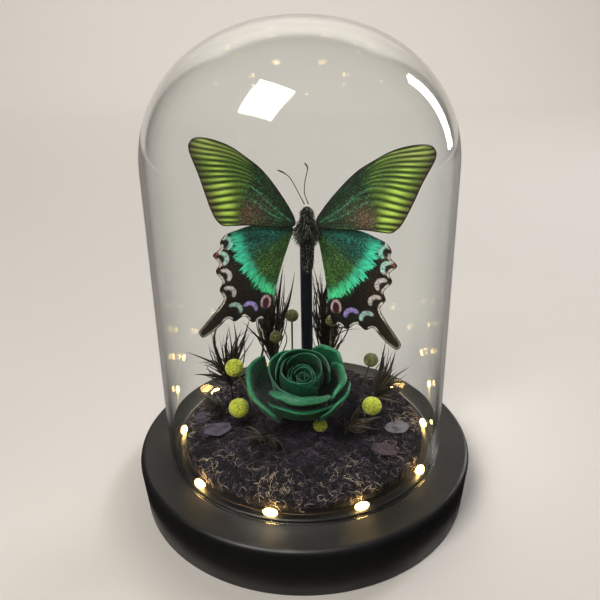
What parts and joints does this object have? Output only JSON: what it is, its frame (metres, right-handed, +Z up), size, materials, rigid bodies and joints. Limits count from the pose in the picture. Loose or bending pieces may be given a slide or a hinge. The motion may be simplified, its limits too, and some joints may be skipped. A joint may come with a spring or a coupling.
{
  "type": "insect in glass dome",
  "caption": "Mounted swallowtail butterfly on a post above a preserved green rose and dark moss, lit by a string of bead lights, under a clear glass bell on a round black base.",
  "frame": {"origin": "centre of the base's underside, on the surface that it stands on", "axes": "+Z up, -Y towards the viewer, +X to the viewer's right"},
  "size_m": [0.146, 0.146, 0.1992],
  "materials": {
    "base": "satin black moulding",
    "screw": "plated steel",
    "glass": "clear blown glass",
    "moss": "dyed preserved moss, purple-black",
    "post": "satin navy-black rod",
    "insect": "dark hairy insect cuticle",
    "fore_wing": "scaled wing, dark with a yellow-green band",
    "hind_wing": "scaled wing, dark with a turquoise band",
    "rose": "preserved petal, emerald dye",
    "stem": "dried stem",
    "button": "dried yellow-green button flower",
    "leaf": "dark dried needle leaf",
    "dried_petal": "grey-mauve dried petal",
    "wire": "bare copper wire, lacquered",
    "bead": "clear resin drop with a warm white light in it"
  },
  "bodies": {
    "root": {"base": "base", "battery_cover": "base", "battery_cover_screw": "screw", "glass_dome": "glass", "post": "post", "butterfly_body": "insect", "antenna_left": "insect", "antenna_right": "insect", "forewing_right": "fore_wing", "forewing_left": "fore_wing", "hindwing_right": "hind_wing", "hindwing_left": "hind_wing", "rose_heart": "rose", "rose_petal_1": "rose", "rose_petal_2": "rose", "rose_petal_3": "rose", "rose_petal_4": "rose", "rose_petal_5": "rose", "rose_petal_6": "rose", "rose_petal_7": "rose", "rose_petal_8": "rose", "rose_petal_9": "rose", "rose_petal_10": "rose", "rose_petal_11": "rose", "rose_petal_12": "rose", "rose_stem": "stem", "button_flower_1": "button", "button_flower_2": "button", "button_flower_3": "button", "button_flower_4": "button", "button_flower_5": "button", "button_flower_6": "button", "button_flower_7": "button", "button_flower_8": "button", "leaf_sprig_1": "leaf", "leaf_sprig_2": "leaf", "leaf_sprig_3": "leaf", "leaf_sprig_4": "leaf", "leaf_sprig_5": "leaf", "leaf_sprig_6": "leaf", "leaf_sprig_7": "leaf", "dried_petal_1": "dried_petal", "dried_petal_2": "dried_petal", "dried_petal_3": "dried_petal", "dried_petal_4": "dried_petal", "moss_bed": "moss", "light_wire": "wire", "light_bead_1": "bead", "light_bead_2": "bead", "light_bead_3": "bead", "light_bead_4": "bead", "light_bead_5": "bead", "light_bead_6": "bead", "light_bead_7": "bead", "light_bead_8": "bead", "light_bead_9": "bead", "light_bead_10": "bead"}
  },
  "joints": []
}
